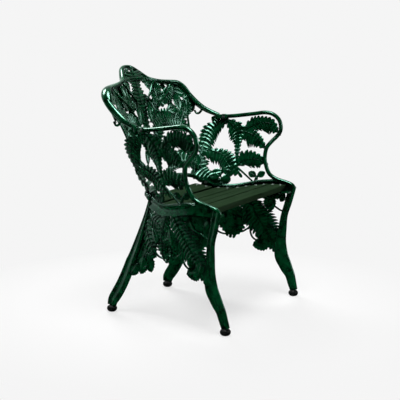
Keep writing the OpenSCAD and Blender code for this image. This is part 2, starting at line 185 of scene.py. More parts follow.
class Solids:
    """Closed solids gathered into one mesh, each a skin over rings of points."""

    def __init__(self):
        self.points, self.faces, self.count = [], [], 0

    def skin(self, rings):
        rings = np.asarray(rings, float)
        rows, sides = rings.shape[:2]
        k = np.arange(sides)
        start = self.count + np.arange(rows)[:, None] * sides
        a, b = start[:-1] + k, start[:-1] + np.roll(k, -1)
        quads = np.stack([a, a + sides, b + sides, b], -1).reshape(-1, 4)
        self.faces += quads.tolist()
        self.faces += [(self.count + k).tolist(), (start[-1] + k[::-1]).tolist()]
        self.points.append(rings.reshape(-1, 3))
        self.count += rows * sides

    def piece(self, name, paint, mirrored=False):
        """An object of these solids that rides on the chair, or their mirror image."""
        points = np.concatenate(self.points) * MM
        faces = self.faces
        if mirrored:
            points = points * [-1, 1, 1]
            faces = [f[::-1] for f in faces]
        mesh = bpy.data.meshes.new(name)
        mesh.from_pydata(points.tolist(), [], faces)
        mesh.validate()
        mesh.polygons.foreach_set("use_smooth", [True] * len(mesh.polygons))
        mesh.set_sharp_from_angle(angle=math.radians(SHARP_ANGLE))
        mesh.materials.append(paint)
        made = bpy.data.objects.new(name, mesh)
        bpy.context.collection.objects.link(made)
        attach(made, "root")
        return made


def sweep(solids, centres, normals, widths, thick, profile):
    """Bar along a path. The profile holds (across, outward) from -1 to 1."""
    along = tangents(centres)
    across = unit(np.cross(normals, along))
    outward = np.cross(along, across)
    x, y = np.array(profile).T[:, None, :, None]
    w, t = (np.broadcast_to(np.asarray(size, float), len(centres))[:, None, None] / 2
            for size in (widths, thick))
    solids.skin(centres[:, None] + across[:, None] * x * w + outward[:, None] * y * t)


def both_sides(half):
    """Profile from its outer half, listed from across = 1 to across = -1."""
    return half + [(a, -b) for a, b in reversed(half[1:-1])]


def round_profile(sides):
    angles = [2 * math.pi * k / sides for k in range(sides)]
    return [(math.cos(a), math.sin(a)) for a in angles]


# Rails: a bead along the inner edge, a hollow, and a round outer edge
RAIL_PROFILE = both_sides([(1, 0), (0.97, 0.45), (0.86, 0.8), (0.7, 0.86), (0.55, 0.6), (0.4, 0.7),
                           (0.2, 0.92), (-0.05, 1.08), (-0.3, 1.1), (-0.55, 1), (-0.76, 0.8),
                           (-0.92, 0.46), (-1, 0)])
LEG_PROFILE = both_sides([(1, 0), (0.97, 0.5), (0.86, 0.86), (0.74, 0.92), (0.62, 0.62), (0.4, 0.5),
                          (0.05, 0.62), (-0.25, 0.9), (-0.45, 1.04), (-0.65, 1), (-0.83, 0.78),
                          (-0.95, 0.42), (-1, 0)])
# Seat rail: a bead along each edge and a wide hollow between them
SEAT_PROFILE = both_sides([(1, 0), (0.97, 0.6), (0.88, 1), (0.74, 1), (0.5, 0.72), (0.2, 0.42),
                           (-0.1, 0.26), (-0.4, 0.24), (-0.6, 0.5), (-0.7, 0.94), (-0.84, 1),
                           (-0.95, 0.6), (-1, 0)])
STEM_PROFILE = round_profile(10)
# Length of the steps along bars and stems, along midribs, and along rails across the whole back
BAR_STEP, MIDRIB_STEP, BACK_STEP = 7, 6, 9
# Width of a stem at its start and its end, as shares of its middle width
STEM_TAPER = (1.1, 0.85)


def bar(solids, face, points, thick, profile, width=None):
    """Bar along drawn points [u, v, width], or [u, v] of one width."""
    path = curve(points, BAR_STEP)
    widths = path[:, 2] if width is None else width
    sweep(solids, at(face, path[:, :2]), normal(face, path[:, :2]), widths, thick, profile)


def stem(solids, face, points, width, lift=0):
    """Round stem that thins a little, raised outwards by lift."""
    path = curve(points, BAR_STEP)
    widths = width * np.linspace(*STEM_TAPER, len(path))
    sweep(solids, raised(face, path, lift), normal(face, path), widths, widths, STEM_PROFILE)


def blade(solids, face, centre, across, widths, thick, ring):
    """Flat form on a casting: drawn centres, directions across, half widths, half thicknesses."""
    x, y = np.array(ring).T
    flat = (centre[:, None] + across[:, None] * (widths[:, None] * x)[..., None]).reshape(-1, 2)
    solids.skin(raised(face, flat, thick[:, None] * y).reshape(len(centre), len(ring), 3))


# Fern fronds

# Leaflet: stations of (share of its reach, width, thickness), over a ridged ring
LEAFLET = [(0, 0.8, 1), (0.2, 1, 1), (0.5, 1.06, 0.95), (0.74, 1, 0.85), (0.88, 0.78, 0.7),
           (0.97, 0.46, 0.5), (1.03, 0.1, 0.3)]
LEAFLET_RING = both_sides([(1, 0), (0.78, 0.5), (0.4, 0.66), (0.1, 1), (-0.1, 1), (-0.4, 0.66),
                           (-0.78, 0.5), (-1, 0)])
# Least and greatest width of a leaflet as shares of the pitch, and the least reach that gets one
LEAFLET_LEAST_W, LEAFLET_MOST_W, LEAST_REACH = 0.45, 1.7, 4
# Half thickness of a leaflet, its growth with the reach, and how far it stays below the solid's rib
LEAFLET_T, LEAFLET_GROWTH, LEAFLET_BELOW = 2.2, 0.06, 0.6
# Leaflet at the tip: length and half width as shares of the pitch, half thickness, and how far ahead
# of the midrib's end it starts
TIP_L, TIP_W, TIP_T, TIP_START = 1.6, 0.4, 3, -2
# Midrib: width, how much thicker than the solid's rib, and share of the width left at the tip
MIDRIB_W, MIDRIB_PROUD, MIDRIB_TAPER = 4.6, 2.5, 0.45
# Web between the leaflets: share of their reach, half thickness
WEB_REACH, WEB_T = 0.76, 2.2
WEB_RING = both_sides([(1, 0), (0.6, 0.6), (0.15, 1), (-0.15, 1), (-0.6, 0.6), (-1, 0)])
PITCH, LEG_PITCH, CREST_PITCH = 12.5, 13, 13.5
# How far the leaflets point towards the tip of their frond, on a plain frond and on the crest's
LEAN, CREST_FROND_LEAN = 0.3, 0.1
# Slope at which a leaflet that leans by 1 leaves the midrib
BEND_START = 0.4


def bend(share):
    """How far ahead a leaflet lies at a share of its reach, where it leans by 1."""
    return BEND_START * share + share ** 2


def web(solids, face, path, lean):
    """Thin sheet that joins the leaflets of a frond up to a share of their reach."""
    along = tangents(path[:, :2])
    x, y = np.array(WEB_RING).T
    share = WEB_REACH * np.abs(x)
    reach = np.where(x > 0, path[:, 2:3], path[:, 3:4])
    out = (reach * share * np.sign(x))[..., None] * left_of(along)[:, None]
    ahead = (reach * lean * bend(share))[..., None] * along[:, None]
    flat = (path[:, None, :2] + out + ahead).reshape(-1, 2)
    lift = np.tile(WEB_T * y, len(path))
    solids.skin(raised(face, flat, lift).reshape(len(path), len(WEB_RING), 3))


def frond(solids, face, points, pitch=PITCH, lean=LEAN):
    """Fern frond along a midrib of [u, v, reach on its left, reach on its right]."""
    path = curve(points, pitch)
    root, along = path[:, :2], tangents(path[:, :2])
    side = left_of(along)
    share, width, level = np.array(LEAFLET).T
    web(solids, face, curve(points, pitch / 2), lean)
    for sign, reach in ((1, path[:, 2]), (-1, path[:, 3])):
        centre = root[:, None] + reach[:, None, None] * (
            sign * share[:, None] * side[:, None] + lean * bend(share)[:, None] * along[:, None])
        for i in range(1, len(path) - 1):
            if reach[i] < LEAST_REACH:
                continue
            # Each leaflet fills the room up to the next one
            across = left_of(tangents(centre[i]))
            room = np.abs(np.sum((centre[i + 1] - centre[i - 1]) * across, 1)) / 2
            half = width * np.clip(room, LEAFLET_LEAST_W * pitch, LEAFLET_MOST_W * pitch) / 2
            thick = level * min(RIB_T / 2 - LEAFLET_BELOW, LEAFLET_T + LEAFLET_GROWTH * reach[i])
            blade(solids, face, centre[i], across, half, thick, LEAFLET_RING)
    tip = root[-1] + np.outer(share * TIP_L * pitch + TIP_START, along[-1])
    blade(solids, face, tip, np.repeat(side[-1:], len(share), 0), TIP_W * pitch * width,
          TIP_T * level, LEAFLET_RING)
    fine = curve(points, MIDRIB_STEP)[:, :2]
    taper = np.linspace(1, MIDRIB_TAPER, len(fine))
    sweep(solids, at(face, fine), normal(face, fine), MIDRIB_W * taper,
          (RIB_T + MIDRIB_PROUD) * (1 + taper) / 2, STEM_PROFILE)


# Bramble leaves and berries

# Leaf: toothed stations of (distance, half width) in its length, and the ring across it
LEAF = [(-0.5, 0.03), (-0.42, 0.17), (-0.38, 0.15), (-0.3, 0.29), (-0.25, 0.26), (-0.16, 0.37),
        (-0.11, 0.33), (-0.01, 0.4), (0.04, 0.34), (0.13, 0.36), (0.18, 0.29), (0.27, 0.29),
        (0.32, 0.21), (0.4, 0.17), (0.44, 0.1), (0.5, 0.02)]
LEAF_RING = both_sides([(1, 0), (0.9, 0.34), (0.62, 0.62), (0.34, 0.6), (0.12, 0.64), (0.05, 1),
                        (-0.05, 1), (-0.12, 0.64), (-0.34, 0.6), (-0.62, 0.62), (-0.9, 0.34), (-1, 0)])
# Half width of the widest station, and share of the half width that the midrib takes
LEAF_HALF_W, LEAF_MIDRIB = 0.4, 0.08
# How far the teeth and veins sweep forward, and the share of the half width where they cross a station
VEIN_SWEEP, VEIN_MIDDLE = 0.22, 0.6
# Half thickness at the midrib, share of it left between the veins, and share lost at the ends
LEAF_T, BETWEEN_VEINS, END_LOSS = 3.6, 0.72, 0.5
# How far the edges fall back, the height of a level, and the tilt along the leaf
LEAF_BOWL, LEVEL_H, LEAF_TILT = 3.2, 3.5, 0.07
# Berry: radius, and shares of it for the core, the places of the drupelets and their radius
BERRY_R, CORE_R, DRUPELET_PLACE, DRUPELET_R = 6.6, 0.75, 0.66, 0.38
# Rows of drupelets: elevation, count, turn
DRUPELETS = [(-62, 4, 0), (-22, 7, 20), (18, 7, 46), (58, 4, 10), (90, 1, 0)]
BALL_SIDES, DRUPELET_SIDES, BALL_RINGS, BALL_CAP = 10, 7, 7, 80


def leaf(solids, face, middle, size, direction, level):
    """Toothed leaf with a raised midrib and side veins, its point towards direction in degrees.

    Leaves of other levels lie higher or lower and tilt the other way, so that they overlap.
    """
    turn = math.radians(direction)
    ahead = np.array([[math.cos(turn), math.sin(turn)]])
    x, y = np.array(LEAF_RING).T
    tilt = LEAF_TILT if level > 0 else -LEAF_TILT
    rings = []
    for k, (station, half) in enumerate(LEAF):
        swept = VEIN_SWEEP if 0 < k < len(LEAF) - 1 else 0
        along = station + swept * half * (np.abs(x) - VEIN_MIDDLE)
        p = np.array(middle) + size * (along[:, None] * ahead + (half * x)[:, None] * left_of(ahead))
        vein = 1 if k % 2 else BETWEEN_VEINS
        thick = LEAF_T * y * (1 - END_LOSS * abs(2 * station) ** 3)
        thick = thick * np.where(np.abs(x) > LEAF_MIDRIB, vein, 1)
        bowl = LEAF_BOWL * (np.abs(x) * half / LEAF_HALF_W) ** 2
        lift = LEVEL_H * level + tilt * size * station
        rings.append(raised(face, p, thick - bowl + lift))
    solids.skin(rings)


def leaves(solids, face, rows):
    """Leaves from rows of [middle, size, direction], on three levels in turn."""
    for k, (middle, size, direction) in enumerate(rows):
        leaf(solids, face, middle, size, direction, k % 3 - 1)


def ball(solids, centre, radius, sides):
    """Ball between two small caps."""
    around = np.radians(np.arange(sides) * 360 / sides)
    circle = np.stack([np.cos(around), np.sin(around), 0 * around], 1)
    rings = []
    for a in np.radians(np.linspace(-BALL_CAP, BALL_CAP, BALL_RINGS)):
        rings.append(centre + radius * (math.cos(a) * circle + [0, 0, math.sin(a)]))
    solids.skin(rings)


def berry(solids, face, middle):
    """Blackberry: a ball covered with drupelets."""
    centre = at(face, np.array([middle], float))[0]
    ball(solids, centre, CORE_R * BERRY_R, BALL_SIDES)
    for elevation, count, turn in DRUPELETS:
        for k in range(count):
            a, e = math.radians(turn + 360 * k / count), math.radians(elevation)
            out = np.array([math.cos(e) * math.cos(a), math.cos(e) * math.sin(a), math.sin(e)])
            ball(solids, centre + DRUPELET_PLACE * BERRY_R * out, DRUPELET_R * BERRY_R, DRUPELET_SIDES)


# Drawing of an end

# Rails, stems and berries hold points [u, v], legs [u, v, width], fronds [u, v, reach on the left,
# reach on the right], and leaves [middle, size, direction in degrees]
ARM_RAIL = [[178, 656], [230, 660], [300, 669], [346, 675], [377, 669], [399, 650], [407, 625],
            [405, 604], [393, 587], [375, 568], [359, 547], [354, 522], [355, 498], [362, 476],
            [371, 456], [384, 442], [408, 430], [442, 421], [466, 412], [475, 398]]
FRONT_LEG = [[468, 408, 28], [462, 382, 28], [453, 345, 27], [441, 300, 26], [436, 250, 32],
             [432, 200, 41], [436, 150, 52], [450, 118, 49], [460, 98, 44], [471, 78, 37],
             [480, 48, 33], [488, FOOT_H, 28]]
REAR_LEG = [[160, 402, 22], [142, 355, 27], [120, 300, 33], [103, 250, 39], [87, 200, 43],
            [66, 150, 45], [44, 105, 46], [22, 68, 46], [5, 42, 42], [0, FOOT_H, 34]]
ARM_FRONDS = [
    [[206, 650, 12, 8], [172, 633, 35, 12], [145, 608, 43, 33], [129, 575, 42, 24],
     [123, 545, 39, 12], [125, 518, 22, 6]],
    [[204, 644, 8, 12], [226, 622, 32, 31], [242, 598, 32, 34], [251, 565, 12, 18],
     [252, 536, 8, 12], [252, 502, 6, 6]],
    [[242, 596, 10, 20], [270, 602, 22, 53], [302, 592, 20, 44], [330, 570, 14, 26],
     [350, 546, 6, 8]],
    [[276, 612, 18, 12], [300, 626, 29, 28], [332, 638, 23, 43], [366, 635, 20, 38],
     [388, 615, 10, 18], [396, 605, 4, 6]],
    [[118, 528, 4, 14], [158, 530, 8, 42], [197, 517, 23, 36], [224, 497, 25, 42],
     [254, 466, 8, 30], [268, 448, 5, 6]],
    [[256, 476, 8, 8], [274, 494, 34, 33], [306, 502, 27, 34], [336, 498, 16, 26],
     [352, 490, 6, 8]],
    [[122, 516, 14, 10], [129, 490, 30, 24], [146, 464, 16, 34], [182, 434, 14, 22],
     [218, 401, 8, 8]]]
ARM_STEMS = [
    [[252, 520], [254, 492], [257, 466]],
    [[256, 472], [285, 448], [312, 424], [324, 412]],
    [[205, 647], [192, 655]],
    [[217, 396], [220, 420], [206, 440]],
    [[322, 414], [330, 436], [346, 452]],
    [[352, 420], [384, 427], [412, 430]]]
LEG_FRONDS = [
    [[285, 384, 20, 22], [310, 338, 44, 42], [342, 288, 58, 52], [378, 235, 49, 36],
     [408, 190, 30, 24], [430, 156, 8, 8]],
    [[262, 384, 14, 14], [240, 336, 42, 34], [228, 290, 48, 36], [228, 256, 30, 22],
     [232, 230, 10, 8]],
    [[150, 384, 10, 10], [182, 350, 30, 32], [228, 326, 26, 34], [268, 302, 10, 10]],
    [[132, 346, 12, 12], [148, 306, 32, 28], [168, 266, 34, 32], [188, 234, 14, 14]],
    [[258, 290, 10, 8], [270, 262, 26, 18], [272, 242, 20, 14], [264, 222, 8, 6]]]
LEG_STEMS = [
    [[350, 398], [374, 342], [402, 330], [426, 316], [446, 312]],
    [[440, 330], [432, 290], [430, 262], [440, 236]],
    [[180, 262], [198, 232], [224, 221], [256, 224]],
    [[262, 232], [290, 232], [318, 252]],
    [[322, 262], [318, 236], [328, 211], [352, 196]]]
LEAVES = [
    [[188, 438], 32, 170], [[226, 426], 44, 80], [[314, 446], 34, 150], [[346, 446], 34, 30],
    [[366, 190], 74, 194], [[394, 206], 58, 250], [[160, 194], 68, 290], [[134, 182], 66, 255],
    [[102, 163], 52, 235], [[148, 230], 60, 60], [[406, 382], 72, 350], [[430, 362], 34, 240],
    [[358, 376], 46, 300], [[180, 226], 40, 20], [[158, 643], 44, 155], [[124, 240], 84, 72],
    [[168, 322], 62, 330], [[196, 292], 56, 300], [[214, 368], 60, 0], [[280, 352], 44, 80],
    [[276, 296], 66, 285], [[332, 376], 54, 20], [[232, 458], 46, 165], [[192, 448], 50, 200],
    [[384, 344], 66, 285], [[248, 232], 46, 10], [[300, 274], 42, 300], [[112, 194], 44, 70],
    [[238, 282], 76, 200], [[352, 222], 40, 300]]
BERRIES = [[206, 426], [212, 414], [330, 432], [334, 420], [246, 212], [150, 176]]
END_STEM_W = 7.5

# Seat rail, with the ledge that carries the slats

# Height of the slats' upper side and of the rail's rim along the depth
SEAT_TOP = [[120, 424], [165, 406], [228, 394], [290, 400], [353, 413], [416, 416], [476, 411]]
RIM = [[150, 430], [180, 416], [200, 409], [228, 406], [256, 406.5], [290, 412.5], [353, 424.5],
       [416, 427], [460, 421]]
# Bead on the rim: width, and how far its middle lies below the rim
RIM_BEAD_W, RIM_BEAD_DROP = 11, 2
# How far the ledge starts forward of the rear slat's edge, stops short of the front corner, and falls
# there, and how far the rail goes down past it
LEDGE_START, LEDGE_STOP, LEDGE_FALL, RAIL_BELOW = 12, 14, 1, 1


def seat_top(t):
    """Height of the slats' upper side at depth t."""
    depths, heights = np.array(SEAT_TOP).T
    return float(np.interp(t, depths, heights))


def slat_end(t):
    """Half length of the slats at depth t."""
    slope = SEAT_POWER * (SEAT_FRONT - min(t, SEAT_FRONT)) ** (SEAT_POWER - 1) / SEAT_DRAW
    return float(seat_line(t)) - LEG_T / 2 * math.hypot(1, slope) - SLAT_CLEAR


def ledge(solids):
    """Ledge under the slats, flat below each of them."""
    edges = []
    for i in range(SLAT_COUNT):
        rear = SLAT_REAR + i * (SLAT_W + SLAT_GAP)
        tilt = math.atan2(seat_top(rear) - seat_top(rear + SLAT_W), SLAT_W)
        for a in (0 if i else LEDGE_START, SLAT_W):
            top = seat_top(rear) - a * math.sin(tilt) - SLAT_T / math.cos(tilt)
            edges.append((rear + a * math.cos(tilt), top))
    edges.append((SEAT_FRONT - LEDGE_STOP, edges[-1][1] - LEDGE_FALL))
    rings = []
    for t, top in edges:
        out, inner, y, low = float(seat_line(t)), slat_end(t) - LEDGE_W, MID_DEPTH - t, top - LEDGE_T
        rings.append([[out, y, top], [inner, y, top], [inner, y, low], [out, y, low]])
    solids.skin(rings)


def seat_rail(solids):
    """Upright seat rail from the joint with the back to the front leg, with a bead on its rim."""
    points = []
    for t, top in RIM:
        low = seat_top(t) - SLAT_T - LEDGE_T - RAIL_BELOW
        points.append([t, (top + low) / 2, top - low])
    bar(solids, END, points, RAIL_T, SEAT_PROFILE)
    stem(solids, END, [[t, top - RIM_BEAD_DROP] for t, top in RIM], RIM_BEAD_W)


# Joints of the back with an end

# Drawn point, direction along the rail, side of the tongue (1 outside, -1 inside), and how far the
# tongue passes the boss at the rear
Joint = namedtuple("Joint", "place along side reach")
ARM_JOINT = Joint([191, 656], [1, 0.02], -1, 18)
SEAT_JOINT = Joint([163, 419], [1, -0.55], 1, 14)
# Tongue: how far it stops short of the boss's front, how much narrower than the boss, and its corners
TONGUE_SHORT, TONGUE_NARROWER, TONGUE_CORNER = 2, 3, 5
# Block at the root of a tongue, which joins it to the back: length, how much narrower than the boss
ROOT_L, ROOT_NARROWER = 15, 2
# Bevel along the edges of bosses and tongues, and degrees of a corner per step
EASE, CORNER_STEP = 1, 15


def slab(solids, joint, rear, front, width, low, high, corner):
    """Round-cornered slab at a joint, with its edges eased."""
    p, step = np.array([joint.place], float), np.array([joint.along], float)
    origin, outward = at(END, p)[0], normal(END, p)[0]
    along = unit(at(END, p + step) - at(END, p - step))[0]
    across = np.cross(outward, along)
    x0, x1, y1 = rear + corner, front - corner, width / 2 - corner
    rings = []
    for height, ease in ((low, EASE), (low + EASE, 0), (high - EASE, 0), (high, EASE)):
        r = corner - ease
        ring = []
        for x, y, start in ((x1, y1, 0), (x0, y1, 90), (x0, -y1, 180), (x1, -y1, 270)):
            for a in np.radians(start + np.arange(0, 91, CORNER_STEP)):
                flat = along * (x + r * math.cos(a)) + across * (y + r * math.sin(a))
                ring.append(origin + flat + outward * height)
        rings.append(ring[::-1])
    solids.skin(rings)


def boss_low(joint):
    """Inner face of a boss, measured outwards from the middle of its rail."""
    return -RAIL_T / 2 if joint.side > 0 else -RAIL_T / 2 - BOSS_PROUD


def boss(solids, joint):
    low = boss_low(joint)
    slab(solids, joint, -BOSS_L / 2, BOSS_L / 2, BOSS_W, low, low + BOSS_T, BOSS_W / 2 - EASE / 2)


def tongue(solids, joint):
    """Tongue of the back over a boss, and the block at its root."""
    low = boss_low(joint) + BOSS_T if joint.side > 0 else boss_low(joint) - TONGUE_T
    start = -BOSS_L / 2 - joint.reach
    slab(solids, joint, start, BOSS_L / 2 - TONGUE_SHORT, BOSS_W - TONGUE_NARROWER, low, low + TONGUE_T,
         TONGUE_CORNER)
    root = min(boss_low(joint), low)
    slab(solids, joint, start, start + ROOT_L, BOSS_W - ROOT_NARROWER, root, root + BOSS_T + TONGUE_T,
         TONGUE_CORNER)


# Drawing of the left half of the back, in the same forms

# Rails [u, v, width, twist in degrees, thickness], or [u, v] where the rail is plain
TOP_RAIL = [[0, CREST_TOP, 15, 0, 16], [30, 842, 15, 0, 18], [56, 824, 16, 0, 20], [84, 803, 16, 0, 20],
            [116, 794, 16, 0, 20], [160, 789, 17, 0, 20], [210, 784, 20, 0, 26], [244, 777, 26, 0, 32],
            [268, 761, 28, 10, 32]]
SHOULDER = [[283, 739, 24, 25, 26]]
SWEEP_RAIL = [[44, 741, 23, 40, 20], [63, 722, 25, 45, 18], [87, 701, 25, 45, 16],
              [114, 683, 22, 40, 14], [142, 671, 17, 20, 14], [168, 662, 15, 0, 14]]
BASE_RAIL = [[0, 456], [70, 455], [130, 451], [172, 443]]
BASE_END = [[144, 431]]
CREST_BAR = [[0, 804], [50, 803], [84, 799], [116, 793]]
SHOULDER_BUD = [[102, 682], [92, 668], [80, 666], [72, 678]]
STILE = [[172, 444], [196, 500], [212, 560], [226, 620], [246, 680], [276, 744]]
CREST_FROND = [[0, 560, 6, 6], [0, 620, 20, 20], [0, 690, 40, 40], [0, 740, 50, 50], [0, 766, 34, 34],
               [0, 790, 38, 38], [0, 804, 66, 66], [0, 816, 62, 62], [0, 826, 48, 48], [0, 831, 20, 20]]
BACK_FRONDS = [
    [[2, 500, 6, 6], [44, 586, 26, 30], [78, 640, 34, 42], [122, 658, 35, 54], [176, 646, 42, 46],
     [218, 606, 8, 8]],
    [[24, 462, 6, 6], [70, 478, 10, 16], [112, 494, 26, 22], [150, 500, 34, 24], [190, 486, 20, 20],
     [212, 470, 6, 6]],
    [[96, 706, 10, 10], [136, 728, 20, 24], [180, 744, 24, 28], [222, 762, 10, 14]],
    [[196, 642, 10, 12], [222, 672, 20, 24], [252, 698, 20, 28], [278, 730, 8, 10]]]
BACK_STEMS = [[[124, 712], [84, 690], [30, 650]], [[2, 506], [0, 480], [0, 458]]]
BRIARS = [[[108, 792], [88, 778], [66, 752], [34, 726]], [[206, 782], [176, 752], [128, 724], [92, 700]]]
BACK_LEAVES = [
    [[118, 764], 54, 60], [[92, 728], 44, 200], [[170, 718], 48, 330], [[214, 718], 48, 70],
    [[74, 784], 54, 330], [[62, 716], 52, 110], [[46, 682], 46, 60], [[86, 752], 44, 250],
    [[210, 748], 50, 30], [[262, 742], 44, 60], [[92, 768], 60, 80], [[126, 764], 60, 60],
    [[196, 762], 54, 100], [[160, 744], 40, 0], [[164, 772], 36, 0], [[234, 748], 58, 340],
    [[262, 732], 54, 280], [[274, 706], 64, 265], [[210, 712], 60, 85], [[228, 690], 64, 60],
    [[250, 692], 60, 80], [[136, 722], 48, 0], [[84, 714], 54, 90], [[86, 684], 56, 60],
    [[168, 690], 50, 10], [[180, 672], 56, 30], [[46, 718], 60, 75], [[38, 676], 66, 100],
    [[112, 742], 46, 20], [[70, 660], 60, 40], [[26, 562], 84, 84], [[60, 532], 52, 95],
    [[150, 522], 56, 20], [[190, 545], 60, 70], [[202, 502], 60, 80], [[22, 806], 34, 100],
    [[50, 800], 32, 40], [[26, 822], 28, 100], [[40, 816], 28, 60], [[14, 830], 20, 30]]
BACK_BERRIES = [[84, 712], [128, 704], [146, 738], [170, 700]]
# Widths of the stiles, stems and briars, and lift of the briars, which lie behind the surface
STILE_W, BACK_STEM_W, BRIAR_W, BRIAR_LIFT = 9, 8, 10, -5


def across_rail(solids, *stretches):
    """Rail across the whole back, through the points of (face, points) and their mirror images."""
    rows = []
    for face, points in stretches:
        sizes = [p[2:] or [RAIL_W, 0, RAIL_T] for p in points]
        p = np.array([p[:2] for p in points], float)
        rows.append(np.concatenate([at(face, p), normal(face, p), sizes], 1))
    half = np.concatenate(rows)
    place, outward, width, twist, thick = slice(0, 3), slice(3, 6), 6, 7, 8
    # Twisted, the broad side of the rail turns upwards
    turn = np.radians(half[:, twist:twist + 1])
    side = unit(np.cross(half[:, outward], tangents(half[:, place])))
    half[:, outward] = half[:, outward] * np.cos(turn) - side * np.sin(turn)
    mirror = half[:0:-1] * [-1, 1, 1, -1, 1, 1, 1, 1, 1]
    path = curve(np.concatenate([mirror, half]), BACK_STEP, 3)
    sweep(solids, path[:, place], unit(path[:, outward]), path[:, width], path[:, thick], RAIL_PROFILE)


# Castings

def build_end(paint):
    rails, fern, bramble = Solids(), Solids(), Solids()
    bar(rails, END, ARM_RAIL, RAIL_T, RAIL_PROFILE, RAIL_W)
    for leg in (FRONT_LEG, REAR_LEG):
        bar(rails, END, leg, LEG_T, LEG_PROFILE)
    seat_rail(rails)
    ledge(rails)
    for joint in (ARM_JOINT, SEAT_JOINT):
        boss(rails, joint)
    for points in ARM_FRONDS:
        frond(fern, END, points)
    for points in LEG_FRONDS:
        frond(fern, END, points, LEG_PITCH)
    for points in ARM_STEMS + LEG_STEMS:
        stem(bramble, END, points, END_STEM_W)
    leaves(bramble, END, LEAVES)
    for middle in BERRIES:
        berry(bramble, END, middle)
    for side, mirrored in (("left", False), ("right", True)):
        for part, solids in (("frame", rails), ("fern", fern), ("bramble", bramble)):
            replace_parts(solids.piece(f"{side}_end_{part}", paint, mirrored), f"{side}_end")


def build_back(paint):
    rails, crest_fern = Solids(), Solids()
    across_rail(rails, (BACK, TOP_RAIL), (BACK, SHOULDER), (END, SWEEP_RAIL))
    across_rail(rails, (BACK, BASE_RAIL), (END, BASE_END))
    across_rail(rails, (BACK, CREST_BAR))
    frond(crest_fern, CREST, CREST_FROND, CREST_PITCH, CREST_FROND_LEAN)
    tongues, fern, bramble = Solids(), Solids(), Solids()
    for joint in (ARM_JOINT, SEAT_JOINT):
        tongue(tongues, joint)
    stem(bramble, BACK, STILE, STILE_W)
    stem(bramble, END, SHOULDER_BUD, STILE_W)
    for points in BACK_FRONDS:
        frond(fern, BACK, points)
    for points in BACK_STEMS:
        stem(bramble, BACK, points, BACK_STEM_W)
    for points in BRIARS:
        stem(bramble, BACK, points, BRIAR_W, BRIAR_LIFT)
    leaves(bramble, BACK, BACK_LEAVES)
    for middle in BACK_BERRIES:
        berry(bramble, BACK, middle)
    for part, solids in (("rails", rails), ("crest_fern", crest_fern)):
        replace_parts(solids.piece(f"back_{part}", paint), "back_panel")
    for part, solids in (("tongues", tongues), ("fern", fern), ("bramble", bramble)):
        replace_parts(solids.piece(f"back_{part}_left", paint), "back_panel")
        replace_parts(solids.piece(f"back_{part}_right", paint, True), "back_panel")


# Materials

def material(name):
    made = bpy.data.materials.new(name)
    made.use_nodes = True
    nodes, links = made.node_tree.nodes, made.node_tree.links
    return made, nodes, links, nodes["Principled BSDF"]


def set_inputs(node, values):
    for name, value in values.items():
        node.inputs[name].default_value = value


def noise(nodes, links, scale, detail, coords=None):
    """Noise over the object, or over other coordinates."""
    texture = nodes.new("ShaderNodeTexNoise")
    set_inputs(texture, {"Scale": scale, "Detail": detail})
    if coords is None:
        coords = nodes.new("ShaderNodeTexCoord").outputs["Object"]
    links.new(coords, texture.inputs["Vector"])
    return texture.outputs["Fac"]


def ramp(nodes, links, value, low, high):
    """Colour of a value, between two stops of (value, colour)."""
    made = nodes.new("ShaderNodeValToRGB")
    for element, (place, colour) in zip(made.color_ramp.elements, (low, high)):
        element.position = place
        element.color = (*colour, 1)
    links.new(value, made.inputs["Fac"])
    return made.outputs["Color"]


def bump(nodes, links, shader, height, distance, strength):
    made = nodes.new("ShaderNodeBump")
    set_inputs(made, {"Distance": distance, "Strength": strength})
    links.new(height, made.inputs["Height"])
    links.new(made.outputs["Normal"], shader.inputs["Normal"])


def painted_hollow_shade(nodes, links, colour, dark, distance, shut, clear):
    """Colour with painted shade in its hollows, sought within a distance in metres.

    It is the painted shade colour up to an openness of shut, and unchanged from clear on.
    """
    hollow = nodes.new("ShaderNodeAmbientOcclusion")
    hollow.inputs["Distance"].default_value = distance
    mix = nodes.new("ShaderNodeMixRGB")
    links.new(ramp(nodes, links, hollow.outputs["AO"], (shut, (0, 0, 0)), (clear, (1, 1, 1))),
              mix.inputs["Fac"])
    mix.inputs["Color1"].default_value = (*dark, 1)
    links.new(colour, mix.inputs["Color2"])
    return mix.outputs["Color"]


def green_paint():
    """Gloss dark green paint on fine-grained cast iron, with painted shade almost black in hollows."""
    made, nodes, links, shader = material("gloss_green_paint")
    tone = ramp(nodes, links, noise(nodes, links, 38, 6),
                (0.35, (0.0003, 0.012, 0.004)), (0.65, (0.0012, 0.055, 0.017)))
    # Painted shade: occlusion darkens the colour almost to black between leaflets, leaves and rails
    colour = painted_hollow_shade(nodes, links, tone, (0.0003, 0.004, 0.0018), 0.04, 0.62, 0.95)
    links.new(colour, shader.inputs["Base Color"])
    bump(nodes, links, shader, noise(nodes, links, 420, 3), 0.0006, 0.35)
    set_inputs(shader, {"Roughness": 0.13, "Specular IOR Level": 0.5, "Specular Tint": (0.4, 1, 0.75, 1)})
    return made


def slat_paint():
    """Satin dark grey-green paint on timber, faint grain along the slat, and painted shade in hollows."""
    made, nodes, links, shader = material("satin_slat_paint")
    stretch = nodes.new("ShaderNodeMapping")
    stretch.inputs["Scale"].default_value = (0.05, 1, 1)
    links.new(nodes.new("ShaderNodeTexCoord").outputs["Object"], stretch.inputs["Vector"])
    grain = noise(nodes, links, 130, 6, stretch.outputs["Vector"])
    tone = ramp(nodes, links, grain, (0.3, (0.009, 0.024, 0.009)), (0.7, (0.019, 0.038, 0.019)))
    # Painted shade: occlusion darkens the slats in their gaps and where they meet the rails
    colour = painted_hollow_shade(nodes, links, tone, (0.0006, 0.003, 0.001), 0.02, 0.55, 0.9)
    links.new(colour, shader.inputs["Base Color"])
    bump(nodes, links, shader, grain, 0.0008, 0.3)
    set_inputs(shader, {"Roughness": 0.85, "Specular IOR Level": 0.01})
    return made


